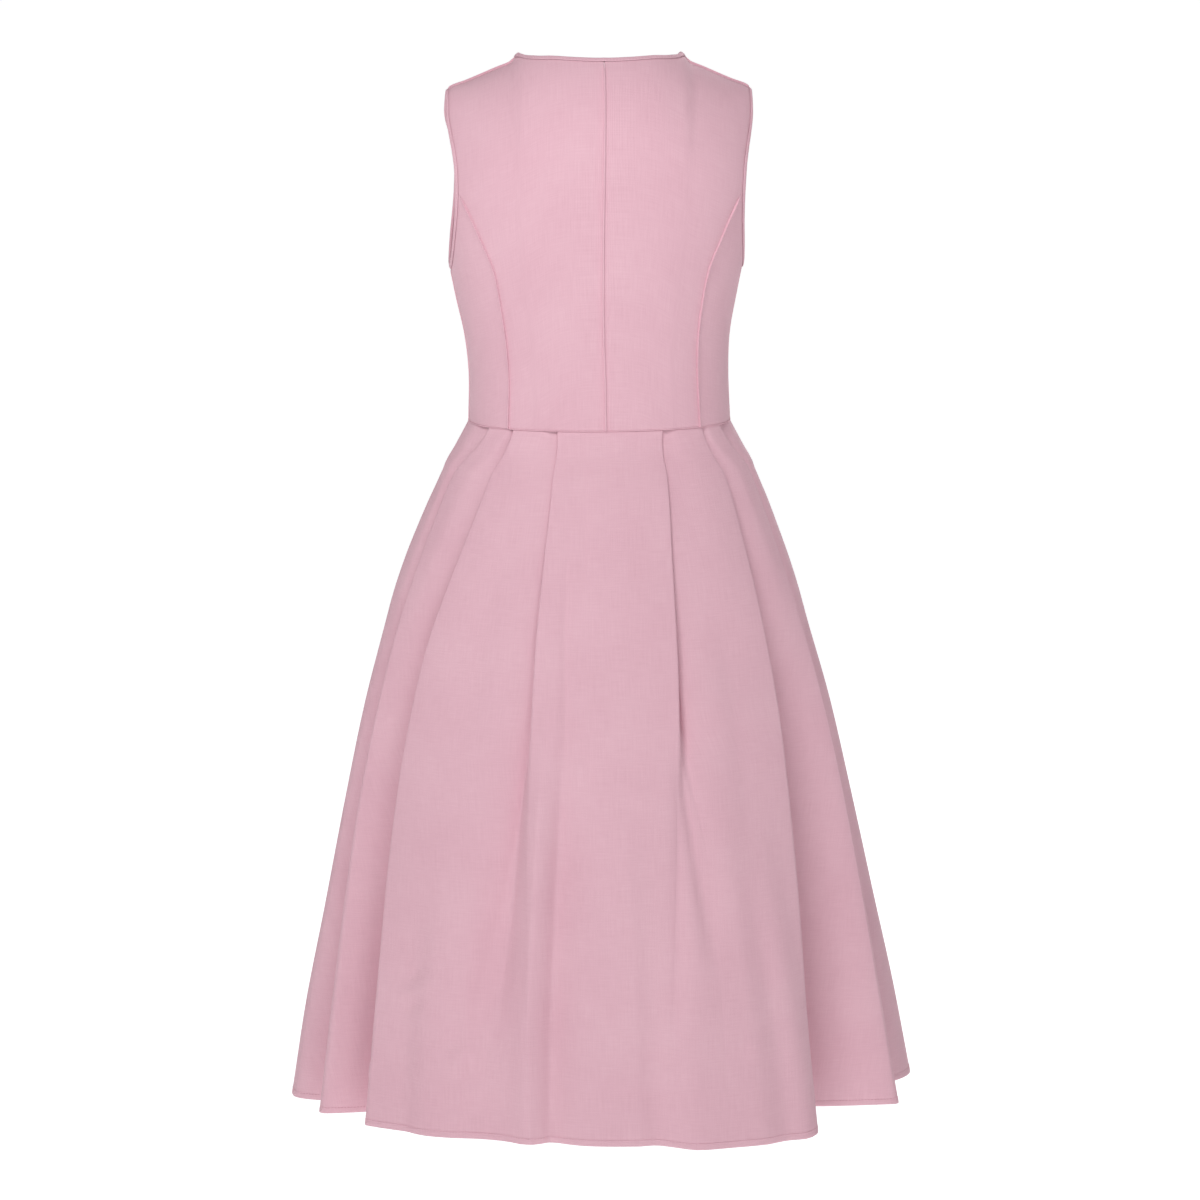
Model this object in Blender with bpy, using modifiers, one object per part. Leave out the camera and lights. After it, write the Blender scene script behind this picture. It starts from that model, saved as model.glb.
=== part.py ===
"""Sleeveless dirndl dress, filled out with no wearer.

Metres, +Z up. The front of the dress faces -Y and its back faces +Y; +X is the wearer's left.
The origin is midway between the neck ends of the two shoulder seams, where shoulders hold it up.
Every piece of cloth is an open sheet given its wall by Solidify.
"""
import math
from collections import namedtuple

import bmesh
import bpy
from mathutils import Vector

# ---- cloth and seams -----------------------------------------------------------------------
CLOTH_WALL = 0.0011
BINDING_WALL = 0.0020
BINDING_WIDTH = 0.0055
SEAM_GAP = 0.0003

# ---- heights, measured down from the neck end of the shoulder seam ---------------------------
WAIST_BELOW = 0.382
HEM_BELOW = 1.100

# ---- bodice ----------------------------------------------------------------------------------
# Half width and depths of the general figure that the bodice is cut for.
# Sway is how far the bodice hangs over to the wearer's left.
BodyRow = namedtuple("BodyRow", "below half_width back_depth front_depth sway")
BODY = (
    BodyRow(-0.030, 0.1680, 0.098, 0.086, 0.000),
    BodyRow(0.060, 0.1685, 0.104, 0.100, 0.003),
    BodyRow(0.120, 0.1680, 0.106, 0.113, 0.004),
    BodyRow(0.180, 0.1605, 0.107, 0.124, 0.005),
    BodyRow(0.212, 0.1545, 0.106, 0.127, 0.005),
    BodyRow(0.250, 0.1470, 0.103, 0.125, 0.005),
    BodyRow(0.290, 0.1390, 0.099, 0.116, 0.004),
    BodyRow(0.330, 0.1360, 0.096, 0.106, 0.0025),
    BodyRow(0.382, 0.1372, 0.098, 0.101, 0.0017),
)
ROUNDNESS = 2.0 / 2.3            # exponent that squares the torso's section off a little
SHOULDER_ROLL = 0.110            # radius of the roll from the shoulder seam down to the back
NECK_ANGLE = 26.8                # shoulder seam, from its neck end ...
TIP_HALF_ANGLE = 20.0            # ... to its tip, which is this far from the side
BACK_NECK_RUN = 0.068            # from the shoulder seam down to the finished neckline at the back
FRONT_NECK_RUN = 0.236
NECK_RADIUS = 0.175              # turns a width along the neckline into an angle

# Height of the shoulder line over the origin, by its share of the half width. It rises beside
# the neck, and it is carried on across the neck opening.
ShoulderRow = namedtuple("ShoulderRow", "across height")
SHOULDER = (
    ShoulderRow(0.000, 0.0230),
    ShoulderRow(0.162, 0.0221),
    ShoulderRow(0.305, 0.0184),
    ShoulderRow(0.414, 0.0110),
    ShoulderRow(0.470, 0.0060),
    ShoulderRow(0.500, 0.0038),
    ShoulderRow(0.516, 0.0020),
    ShoulderRow(0.532, -0.0016),
    ShoulderRow(0.550, -0.0060),
    ShoulderRow(0.568, -0.0079),
    ShoulderRow(0.600, -0.0101),
    ShoulderRow(0.640, -0.0127),
    ShoulderRow(0.740, -0.0200),
    ShoulderRow(0.830, -0.0263),
    ShoulderRow(0.905, -0.0308),
    ShoulderRow(0.944, -0.0350),
    ShoulderRow(1.000, -0.0415),
)

# Armhole: its greatest half angle each side of the side seam, and how far down that lies.
ARMHOLE_WIDEST_RUN = 0.150
ARMHOLE_BOTTOM_RUN = 0.237
ARMHOLE_HALF_ANGLE = {"back": 27.5, "front": 31.5}
ARMHOLE_RADIUS = 0.130
ARMHOLE_HOLLOW = 0.55            # share of that distance in which it curves in from the tip's line
PRINCESS_TOP_RUN = 0.166

# Princess seams, as angles from the middle of the back or of the front.
SeamRow = namedtuple("SeamRow", "below angle")
PRINCESS = {
    "back": (SeamRow(0.148, 57.0), SeamRow(0.180, 49.5), SeamRow(0.215, 44.0),
             SeamRow(0.250, 42.7), SeamRow(0.295, 43.1), SeamRow(0.382, 44.0)),
    "front": (SeamRow(0.148, 51.0), SeamRow(0.180, 43.0), SeamRow(0.215, 38.0),
              SeamRow(0.250, 35.5), SeamRow(0.295, 35.5), SeamRow(0.382, 36.5)),
}

# ---- skirt -----------------------------------------------------------------------------------
# Ridges of the folds lie on this oval; share is the part of the skirt's length from the waist.
# Sway is how far the oval hangs over to the wearer's left.
SkirtRow = namedtuple("SkirtRow", "share half_width half_depth sway")
SKIRT = (
    SkirtRow(0.00, 0.1600, 0.1000, 0.0017),
    SkirtRow(0.06, 0.1618, 0.1180, 0.0020),
    SkirtRow(0.09, 0.1700, 0.1290, 0.0023),
    SkirtRow(0.12, 0.1795, 0.1380, 0.0028),
    SkirtRow(0.16, 0.1910, 0.1490, 0.0036),
    SkirtRow(0.20, 0.2020, 0.1590, 0.0042),
    SkirtRow(0.25, 0.2140, 0.1700, 0.0046),
    SkirtRow(0.30, 0.2240, 0.1795, 0.0046),
    SkirtRow(0.42, 0.2480, 0.2030, 0.0034),
    SkirtRow(0.56, 0.2710, 0.2250, 0.0022),
    SkirtRow(0.72, 0.2960, 0.2450, 0.0006),
    SkirtRow(0.86, 0.3182, 0.2600, -0.0006),
    SkirtRow(1.00, 0.3365, 0.2760, -0.0025),
)
SKIRT_STEPS = (0.0, 0.025, 0.065, 0.12, 0.19, 0.27, 0.35, 0.43, 0.52, 0.62, 0.74, 0.87, 1.0)
FOLD_ROLL = 0.00095              # radius of a pressed fold, to the middle of the cloth
PRESSED = 4 * FOLD_ROLL          # three layers lie in this depth
FLUSH_UNTIL = 0.06               # where the skirt has left the form of the bodice's waist
SETTLED_AT = 0.40                # where the panels have left their pressed layers
SIDE_FLAT = 0.0035               # level strip beside the side seam, so that its two walls meet square

# How a pleat lets go on its way down: the cloth's overlap (negative once the valley lies past
# the edge), the depth from the edge to the valley, and the rolls of the two folds. A sprung
# pleat gapes for a hand's breadth and then lies nearly flat.
FallRow = namedtuple("FallRow", "share overlap depth edge_roll valley_roll")
FALLS = {
    "released": (FallRow(0.00, 0.026, PRESSED, FOLD_ROLL, FOLD_ROLL),
                 FallRow(0.20, 0.014, 0.0070, 0.0012, 0.0012),
                 FallRow(0.38, 0.001, 0.0125, 0.0024, 0.0028),
                 FallRow(0.44, -0.006, 0.0135, 0.0032, 0.0038),
                 FallRow(0.52, -0.015, 0.0120, 0.0050, 0.0060),
                 FallRow(0.62, -0.027, 0.0110, 0.0080, 0.0110),
                 FallRow(0.80, -0.056, 0.0095, 0.0120, 0.0200),
                 FallRow(1.00, -0.076, 0.0095, 0.0140, 0.0260)),
    "sprung": (FallRow(0.00, 0.026, PRESSED, FOLD_ROLL, FOLD_ROLL),
               FallRow(0.20, 0.012, 0.0075, 0.0012, 0.0012),
               FallRow(0.33, 0.001, 0.0130, 0.0020, 0.0024),
               FallRow(0.41, -0.008, 0.0150, 0.0030, 0.0036),
               FallRow(0.48, -0.016, 0.0095, 0.0060, 0.0060),
               FallRow(0.60, -0.034, 0.0050, 0.0110, 0.0110),
               FallRow(1.00, -0.060, 0.0035, 0.0200, 0.0200)),
    "deep": (FallRow(0.00, 0.026, PRESSED, FOLD_ROLL, FOLD_ROLL),
             FallRow(0.20, 0.015, 0.0150, 0.0016, 0.0025),
             FallRow(0.38, 0.004, 0.0330, 0.0030, 0.0050),
             FallRow(0.62, -0.006, 0.0540, 0.0055, 0.0090),
             FallRow(1.00, -0.014, 0.0780, 0.0090, 0.0140)),
}

# One row for each pleat of a quarter, from the middle out: how far its edge lies from the middle
# at each of these shares of the length, and how deep its valley is beside the table above.
PATH_SHARES = (0.0, 0.10, 0.33, 0.58, 1.0)
PathRow = namedtuple("PathRow", "share across")
PleatRow = namedtuple("PleatRow", "fall path deepness")
SIDE_SWING = 8.0                 # the side seams swing round the oval by this angle at the hem
PLEATS = {
    ("back", "left"): (PleatRow("released", (0.0501, 0.0578, 0.0751, 0.0873, 0.0915), 1.00),
                       PleatRow("deep", (0.0973, 0.1273, 0.1878, 0.2246, 0.2594), 1.15),
                       PleatRow("deep", (0.1273, 0.1640, 0.2200, 0.2610, 0.3058), 0.80)),
    ("back", "right"): (PleatRow("sprung", (0.0602, 0.0644, 0.0704, 0.0640, 0.0455), 1.00),
                        PleatRow("deep", (0.1058, 0.1332, 0.1721, 0.1904, 0.1997), 1.20),
                        PleatRow("deep", (0.1330, 0.1650, 0.2200, 0.2590, 0.3045), 1.15)),
    ("front", "left"): (PleatRow("released", (0.0570, 0.0650, 0.0799, 0.0920, 0.1038), 1.10),
                        PleatRow("deep", (0.1010, 0.1310, 0.1789, 0.2110, 0.2334), 1.10),
                        PleatRow("deep", (0.1290, 0.1640, 0.2200, 0.2620, 0.3115), 0.90)),
    ("front", "right"): (PleatRow("released", (0.0590, 0.0650, 0.0760, 0.0950, 0.1204), 1.00),
                         PleatRow("deep", (0.1020, 0.1310, 0.1815, 0.2180, 0.2536), 1.15),
                         PleatRow("deep", (0.1290, 0.1640, 0.2200, 0.2620, 0.3093), 1.00)),
}

# Lower down, the right part of the back swings out and hangs a little longer. It does so fully
# between the two middle angles, and not at all beyond the outer ones.
SWING_FACE = ("back", "right")
SWING_ANGLES = (5.0, 14.0, 33.0, 41.0)
SWING_FROM = 0.45
SWING_OUT, SWING_DOWN = 0.020, 0.004

MIDDLE_COLUMNS = 5               # sheet columns from the centre line to the first edge
FOLD_COLUMNS = 3                 # around one fold
RETURN_COLUMNS = 2               # between a pleat's two folds
PANEL_COLUMNS = 5                # from one pleat to the next, and to the side seam
PRESSED_CLEAR = 0.0025           # a pressed panel keeps this far, along it, from other folds

COTTON_PINK = (0.79, 0.53, 0.59, 1.0)
BINDING_PINK = (0.76, 0.49, 0.55, 1.0)

for old in list(bpy.data.objects):
    bpy.data.objects.remove(old, do_unlink=True)

dress = bpy.data.collections.new("dirndl")
bpy.context.scene.collection.children.link(dress)


# ---- tables and curves -----------------------------------------------------------------------
def read(rows, column, key):
    """Smooth value of a table's column, where its first column equals key."""
    keys = [row[0] for row in rows]
    values = [getattr(row, column) for row in rows]
    if key <= keys[0]:
        return values[0]
    if key >= keys[-1]:
        return values[-1]
    low = next(n for n in range(len(keys) - 1) if key <= keys[n + 1])
    span = keys[low + 1] - keys[low]
    u = (key - keys[low]) / span

    def rise(n):
        before, after = max(n - 1, 0), min(n + 1, len(keys) - 1)
        return (values[after] - values[before]) / (keys[after] - keys[before]) * span

    return (values[low] * (2 * u**3 - 3 * u**2 + 1) + rise(low) * (u**3 - 2 * u**2 + u)
            + values[low + 1] * (3 * u**2 - 2 * u**3) + rise(low + 1) * (u**3 - u**2))


def mix(first, last, share):
    return first + (last - first) * share


def ease(share):
    share = min(max(share, 0.0), 1.0)
    return share * share * (3 - 2 * share)


# ---- bodice surface --------------------------------------------------------------------------
# A place on the bodice is (angle, run): the angle from the middle of the back or front in
# degrees, and the length of cloth down from the shoulder seam in metres.
def width_share(angle):
    return math.sin(math.radians(angle)) ** ROUNDNESS


def shoulder_height(angle):
    return read(SHOULDER, "height", width_share(angle))


def run_at(angle, below):
    """Length of cloth from the shoulder line down to a height."""
    drop = shoulder_height(angle) + below
    if drop < SHOULDER_ROLL:
        return SHOULDER_ROLL * math.acos(1 - drop / SHOULDER_ROLL)
    return SHOULDER_ROLL * math.pi / 2 + drop - SHOULDER_ROLL


def bodice_point(face, hand, angle, run):
    turn = min(run / SHOULDER_ROLL, math.pi / 2)
    drop = SHOULDER_ROLL * (1 - math.cos(turn)) + run - SHOULDER_ROLL * turn
    below = drop - shoulder_height(angle)
    depth = read(BODY, face + "_depth", below) * max(math.cos(math.radians(angle)), 0.0) ** ROUNDNESS
    side = 1 if hand == "left" else -1
    toward = 1 if face == "back" else -1
    x = side * read(BODY, "half_width", below) * width_share(angle) + read(BODY, "sway", below)
    return Vector((x, toward * depth * math.sin(turn), -below))


def neckline(face, share, inset):
    """Neck edge, from the middle (share 0) to the shoulder seam (share 1)."""
    turn = math.radians(90 * share)
    reach = (BACK_NECK_RUN if face == "back" else FRONT_NECK_RUN) + inset
    return (NECK_ANGLE + math.degrees(inset / NECK_RADIUS)) * math.sin(turn), reach * math.cos(turn)


def armhole(face, share, inset):
    """Armhole edge: shoulder tip (share 0), top of the princess seam (1), underarm (2)."""
    half = ARMHOLE_HALF_ANGLE[face]
    deep = ARMHOLE_BOTTOM_RUN - ARMHOLE_WIDEST_RUN + inset
    seam_lean = math.asin((PRINCESS_TOP_RUN - ARMHOLE_WIDEST_RUN) / deep)
    narrowing = math.degrees(inset / ARMHOLE_RADIUS)
    run = PRINCESS_TOP_RUN * share
    if run < ARMHOLE_WIDEST_RUN:
        rise = (ARMHOLE_WIDEST_RUN - run) / ARMHOLE_WIDEST_RUN
        return 90 - mix(half, TIP_HALF_ANGLE, ease(rise / ARMHOLE_HOLLOW)) - narrowing, run
    lean = mix(seam_lean, math.pi / 2, max(share - 1, 0))
    if share < 1:
        lean = math.asin((run - ARMHOLE_WIDEST_RUN) / deep)
    return 90 - (half + narrowing) * math.cos(lean), ARMHOLE_WIDEST_RUN + deep * math.sin(lean)


def princess(face, share, inset):
    """Princess seam, from the waist (share 0) to the armhole (share 1)."""
    end_angle, end_run = armhole(face, 1, inset)
    turn = min(end_run / SHOULDER_ROLL, math.pi / 2)
    end_below = SHOULDER_ROLL * (1 - math.cos(turn)) - shoulder_height(end_angle)
    rows = (SeamRow(end_below, end_angle),) + PRINCESS[face]
    below = mix(WAIST_BELOW, end_below, share)
    angle = read(rows, "angle", below)
    return angle, run_at(angle, below)


# ---- making sheets ---------------------------------------------------------------------------
def make_material(name, colour):
    material = bpy.data.materials.new(name)
    material.use_nodes = True
    shader = material.node_tree.nodes["Principled BSDF"]
    shader.inputs["Base Color"].default_value = colour
    shader.inputs["Roughness"].default_value = 0.9
    shader.inputs["Metallic"].default_value = 0.0
    return material


def make_sheet(name, columns, rows, place, wall, colour, ring=False):
    """Grid whose corner (u, v) goes to place(u, v), thickened both ways by half a wall."""
    grid = bmesh.new()
    bmesh.ops.create_grid(grid, x_segments=columns, y_segments=rows, size=0.5)
    for vertex in grid.verts:
        column, row = round((vertex.co.x + 0.5) * columns), round((vertex.co.y + 0.5) * rows)
        vertex.co = place(column / columns, row / rows)
    if ring:
        bmesh.ops.remove_doubles(grid, verts=grid.verts, dist=1e-6)
    mesh = bpy.data.meshes.new(name)
    grid.to_mesh(mesh)
    grid.free()
    mesh.shade_smooth()
    mesh.materials.append(make_material(name, colour))
    piece = bpy.data.objects.new(name, mesh)
    dress.objects.link(piece)
    shell = piece.modifiers.new("cloth", "SOLIDIFY")
    shell.thickness = wall
    shell.offset = 0.0
    return piece


def patch(bottom, top, left, right):
    """Place inside four edges, each a function of 0..1 that gives (angle, run)."""
    def inside(u, v):
        low, high, near, far = bottom(u), top(u), left(v), right(v)
        corners = bottom(0), bottom(1), top(0), top(1)
        return tuple(
            mix(low[k], high[k], v) + mix(near[k], far[k], u)
            - mix(mix(corners[0][k], corners[1][k], u), mix(corners[2][k], corners[3][k], u), v)
            for k in (0, 1))
    return inside


# ---- bodice pieces ---------------------------------------------------------------------------
PANEL_INSET = BINDING_WIDTH + 1.5 * SEAM_GAP
HALF_GAP = SEAM_GAP / 2
SHOULDER_GAP = 0.00032           # each side of the shoulder seam, where the two walls lean together
GAP_ANGLE = math.degrees(HALF_GAP / ARMHOLE_RADIUS)
MIDDLE_ANGLE = math.degrees((HALF_GAP / BODY[0].half_width) ** (1 / ROUNDNESS))
SEAM_ROWS, ARMHOLE_ROWS = 7, 8             # rows along the princess seam and the armhole over it
PANEL_ROWS = SEAM_ROWS + ARMHOLE_ROWS
MIDDLE_ROWS = {"back": 9, "front": 5}      # rows along the centre seam; the rest follow the neck
BODICE_COLUMNS = 7
UNDERARM_COLUMNS = 7


def make_centre_panel(face, hand):
    """Panel from the centre seam and the neckline out to the princess seam and the armhole."""
    inset = PANEL_INSET
    middle_share = MIDDLE_ROWS[face] / PANEL_ROWS
    seam_share = SEAM_ROWS / PANEL_ROWS

    def middle_and_neck(v):
        if v <= middle_share:
            waist_run = run_at(MIDDLE_ANGLE, WAIST_BELOW)
            return MIDDLE_ANGLE, mix(waist_run, neckline(face, 0, inset)[1], v / middle_share)
        angle, run = neckline(face, (v - middle_share) / (1 - middle_share), inset)
        return angle, max(run, SHOULDER_GAP)

    def seam_and_armhole(v):
        if v <= seam_share:
            angle, run = princess(face, v / seam_share, inset)
            return angle - GAP_ANGLE, run
        angle, run = armhole(face, (1 - v) / (1 - seam_share), inset)
        return angle, max(run, SHOULDER_GAP)

    def waist(u):
        angle = mix(middle_and_neck(0)[0], seam_and_armhole(0)[0], u)
        return angle, run_at(angle, WAIST_BELOW)

    def shoulder(u):
        return mix(middle_and_neck(1)[0], seam_and_armhole(1)[0], u), SHOULDER_GAP

    place = patch(waist, shoulder, middle_and_neck, seam_and_armhole)
    return make_sheet(f"bodice_{face}_{hand}", BODICE_COLUMNS, PANEL_ROWS,
                      lambda u, v: bodice_point(face, hand, *place(u, v)), CLOTH_WALL, COTTON_PINK)


def make_side_panel(face, hand):
    """Panel between the princess seam and the side seam, up to the armhole."""
    inset = PANEL_INSET
    side_angle = 90 - GAP_ANGLE

    def seam(v):
        angle, run = princess(face, v, inset)
        return angle + GAP_ANGLE, run

    def side(v):
        return side_angle, mix(run_at(90, WAIST_BELOW), ARMHOLE_BOTTOM_RUN + inset, v)

    def waist(u):
        angle = mix(princess(face, 0, inset)[0] + GAP_ANGLE, side_angle, u)
        return angle, run_at(angle, WAIST_BELOW)

    def underarm(u):
        angle, run = armhole(face, 1 + u, inset)
        return mix(angle + GAP_ANGLE, angle - GAP_ANGLE, u), run

    place = patch(waist, underarm, seam, side)
    return make_sheet(f"bodice_{face}_side_{hand}", UNDERARM_COLUMNS, SEAM_ROWS,
                      lambda u, v: bodice_point(face, hand, *place(u, v)), CLOTH_WALL, COTTON_PINK)


def make_neck_binding():
    """Ring round the neck: middle back, left shoulder, middle front, right shoulder."""
    back_rows = PANEL_ROWS - MIDDLE_ROWS["back"]
    front_rows = PANEL_ROWS - MIDDLE_ROWS["front"]
    left = [("back", "left", row / back_rows) for row in range(back_rows)]
    left += [("front", "left", 1 - row / front_rows) for row in range(front_rows)]
    right = [("front", "right", row / front_rows) for row in range(front_rows)]
    right += [("back", "right", 1 - row / back_rows) for row in range(back_rows + 1)]
    stations = left + right

    def place(u, v):
        face, hand, share = stations[round(u * (len(stations) - 1))]
        return bodice_point(face, hand, *neckline(face, share, v * BINDING_WIDTH))

    return make_sheet("neck_binding", len(stations) - 1, 1, place, BINDING_WALL, BINDING_PINK, ring=True)


def make_armhole_binding(hand):
    """Ring round an armhole: shoulder tip, back, underarm, front."""
    half_columns = ARMHOLE_ROWS + UNDERARM_COLUMNS

    def place(u, v):
        face = "back" if u < 0.5 else "front"
        column = half_columns * (u * 2 if u < 0.5 else 2 - u * 2)
        share = column / ARMHOLE_ROWS
        if column > ARMHOLE_ROWS:
            share = 1 + (column - ARMHOLE_ROWS) / UNDERARM_COLUMNS
        return bodice_point(face, hand, *armhole(face, share, v * BINDING_WIDTH))

    return make_sheet(f"armhole_binding_{hand}", 2 * half_columns, 1, place,
                      BINDING_WALL, BINDING_PINK, ring=True)


# ---- skirt -----------------------------------------------------------------------------------
# The skirt's section is drawn on its unrolled oval: a length along the oval from the middle,
# and an offset out of it. The cloth runs round each fold's roll like a belt round pulleys.
Roll = namedtuple("Roll", "along offset radius")   # radius is negative where the cloth turns back


def rolls_of_quarter(pleats, share, half_width, half_length):
    """The six fold rolls of a quarter at one height."""
    rolls = []
    for pleat in pleats:
        fall = FALLS[pleat.fall]
        path = [PathRow(*row) for row in zip(PATH_SHARES, pleat.path)]
        along = half_length * math.asin(read(path, "across", share) / half_width) / (math.pi / 2)
        deepness = mix(1.0, pleat.deepness, ease(share / SETTLED_AT))
        depth = read(fall, "depth", share) * deepness
        edge_roll = read(fall, "edge_roll", share)
        valley_roll = read(fall, "valley_roll", share)
        rolls.append(Roll(along, -edge_roll, -edge_roll))
        rolls.append(Roll(along - read(fall, "overlap", share), valley_roll - depth, valley_roll))
    return rolls


def heading(first, last):
    """Direction of the straight run of cloth from one roll to the next."""
    step_along, step_out = last.along - first.along, last.offset - first.offset
    reach = math.hypot(step_along, step_out)
    return math.atan2(step_out, step_along) - math.asin((last.radius - first.radius) / reach)


def touch(roll, direction):
    """Point of a roll that cloth leaves or meets in a direction."""
    return (roll.along + math.sin(direction) * roll.radius,
            roll.offset - math.cos(direction) * roll.radius)


def panel_steps(begin, end, under, over, share):
    """Steps (u, rise) across a panel. A pressed panel lies low as far as the edge that covers
    it, under, and has come up by the place where it covers the next valley, over."""
    low = min(max((under + PRESSED_CLEAR - begin) / (end - begin), 0.10), 0.45)
    high = min(max((over - PRESSED_CLEAR - begin) / (end - begin), 0.55), 0.95)
    pressed = (low / 2, 0.0), (low, 0.0), (high, 1.0), ((high + 1) / 2, 1.0), (1.0, 1.0)
    open_share = ease(share / SETTLED_AT)
    return [tuple(mix(place, step / PANEL_COLUMNS, open_share) for place in places)
            for step, places in enumerate(pressed, start=1)]


def quarter_section(face, hand, share):
    """Points of the cloth's section from the middle to the side seam, on the unrolled oval."""
    half_width = read(SKIRT, "half_width", share)
    half_depth = read(SKIRT, "half_depth", share)
    half_length = math.pi / 4 * (half_width + half_depth)
    rolls = [Roll(0.0, 0.0, 0.0)]
    rolls += rolls_of_quarter(PLEATS[face, hand], share, half_width, half_length)
    side_angle = SIDE_SWING if (face, hand) in (("back", "right"), ("front", "left")) else -SIDE_SWING
    side_along = half_length * (90 + side_angle * ease(share)) / 90
    rolls.append(Roll(side_along - SIDE_FLAT, 0.0, 0.0))
    directions = [heading(a, b) for a, b in zip(rolls, rolls[1:])]
    points = [touch(rolls[0], directions[0])]
    for number, direction in enumerate(directions):
        start, end = touch(rolls[number], direction), touch(rolls[number + 1], direction)
        last = number + 1 == len(directions)
        if number and number % 2 == 0:
            over = mix(rolls[number - 1].along, end[0], 0.6) if last else rolls[number + 2].along
            steps = panel_steps(start[0], end[0], rolls[number - 1].along, over, share)
        else:
            columns = RETURN_COLUMNS if number else MIDDLE_COLUMNS
            steps = [(step / columns, step / columns) for step in range(1, columns + 1)]
        for u, rise in steps:
            if last:                                    # levels out over the side seam
                rise += rise * rise - rise**3
            points.append((mix(start[0], end[0], u), mix(start[1], end[1], rise)))
        if last:
            points.append((side_along - HALF_GAP, 0.0))
            break
        roll = rolls[number + 1]
        sense = math.copysign(1.0, roll.radius)
        bend = (sense * (directions[number + 1] - direction)) % (2 * math.pi)
        bend -= 2 * math.pi if bend > 1.5 * math.pi else 0.0
        for step in range(1, FOLD_COLUMNS + 1):
            points.append(touch(roll, direction + sense * bend * step / FOLD_COLUMNS))
    return [(along / half_length * math.pi / 2, offset) for along, offset in points]


def swing(face, hand, share, turn):
    """How much of the swing at the hem there is at a place, from 0 to 1."""
    if (face, hand) != SWING_FACE:
        return 0.0
    start, full, full_end, end = (math.radians(angle) for angle in SWING_ANGLES)
    breadth = ease((turn - start) / (full - start)) * ease((end - turn) / (end - full_end))
    return breadth * ease((share - SWING_FROM) / (1 - SWING_FROM))


def skirt_point(face, hand, share, turn, offset):
    half_width = read(SKIRT, "half_width", share)
    half_depth = read(SKIRT, "half_depth", share)
    side = 1 if hand == "left" else -1
    toward = 1 if face == "back" else -1
    swung = swing(face, hand, share, turn)
    out = Vector((math.sin(turn) / half_width, math.cos(turn) / half_depth)).normalized()
    out *= offset + SWING_OUT * swung
    ridge = Vector((half_width * math.sin(turn), half_depth * math.cos(turn)))
    if share < FLUSH_UNTIL:                             # comes down from the bodice's own section
        waist = read(BODY, "half_width", WAIST_BELOW), read(BODY, face + "_depth", WAIST_BELOW)
        power = 2 / ROUNDNESS
        reach = sum(abs(ridge[k] / waist[k]) ** power for k in (0, 1)) ** (1 / power)
        ridge *= mix(1 / reach, 1.0, share / FLUSH_UNTIL)
    below = mix(WAIST_BELOW + 2 * SEAM_GAP, HEM_BELOW, share) + SWING_DOWN * swung
    return Vector((side * (ridge.x + out.x) + read(SKIRT, "sway", share),
                   toward * (ridge.y + out.y), -below))


def make_skirt(face):
    """Half of the skirt, from the right side seam over the middle to the left side seam."""
    sections = []
    for share in SKIRT_STEPS:
        right = [("right", *point) for point in quarter_section(face, "right", share)]
        left = [("left", *point) for point in quarter_section(face, "left", share)]
        sections.append(right[::-1] + left[1:])
    columns = len(sections[0]) - 1
    rows = len(SKIRT_STEPS) - 1

    def place(u, v):
        row = rows - round(v * rows)
        hand, turn, offset = sections[row][round(u * columns)]
        return skirt_point(face, hand, SKIRT_STEPS[row], turn, offset)

    return make_sheet(f"skirt_{face}", columns, rows, place, CLOTH_WALL, COTTON_PINK)


# ---- the dress -------------------------------------------------------------------------------
for face in ("back", "front"):
    for hand in ("left", "right"):
        make_centre_panel(face, hand)
        make_side_panel(face, hand)
    make_skirt(face)
for hand in ("left", "right"):
    make_armhole_binding(hand)
make_neck_binding()
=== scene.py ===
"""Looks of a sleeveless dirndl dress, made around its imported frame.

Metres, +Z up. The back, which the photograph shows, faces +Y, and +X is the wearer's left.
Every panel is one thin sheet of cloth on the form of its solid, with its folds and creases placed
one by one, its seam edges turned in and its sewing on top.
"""
import math
from collections import namedtuple

import bmesh
import bpy
from mathutils import Matrix, Vector


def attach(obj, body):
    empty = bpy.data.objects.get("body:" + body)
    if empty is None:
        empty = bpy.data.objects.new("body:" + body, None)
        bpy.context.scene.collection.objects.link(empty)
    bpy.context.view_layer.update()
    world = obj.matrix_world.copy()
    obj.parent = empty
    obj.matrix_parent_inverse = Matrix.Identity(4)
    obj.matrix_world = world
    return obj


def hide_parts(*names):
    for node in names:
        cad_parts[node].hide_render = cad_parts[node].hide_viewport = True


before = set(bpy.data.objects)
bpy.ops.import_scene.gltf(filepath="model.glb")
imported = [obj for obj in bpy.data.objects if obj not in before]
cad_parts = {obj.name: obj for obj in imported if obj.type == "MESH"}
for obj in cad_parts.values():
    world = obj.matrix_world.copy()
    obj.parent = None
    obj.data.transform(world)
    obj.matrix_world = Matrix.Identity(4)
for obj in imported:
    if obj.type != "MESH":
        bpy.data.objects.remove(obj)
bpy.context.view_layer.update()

# ---- the camera's place, and the cloth ----
FRAME_PIXELS = 1200
SENSOR_MM = 36.0
FOCAL_PIXELS = 6213.2
CAMERA_DISTANCE = 6.5            # level, from the origin
CAMERA_TURN = 0.0688             # radians from straight behind the dress, toward the wearer's left
CAMERA_ASIDE = 0.001             # it looks past the origin by this much
CAMERA_HEIGHT = 0.507
CAMERA_PITCH = 0.1651            # radians down
FLOOR = -1.46                    # under the feet of a wearer whose shoulders are at the origin

WALL = 0.0007                    # cotton, drawn a little thick
BINDING_WALL = 0.0005
SEAM_HALF = 0.00034              # from a seam's line to the middle of each turned-in edge

SIDE = {"left": 1, "right": -1}  # the sign of X on the wearer's left and right
TOWARD = {"back": 1, "front": -1}                  # and of Y on the back and the front


def table(kind, *rows):
    return tuple(kind(*row) for row in rows)


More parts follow.
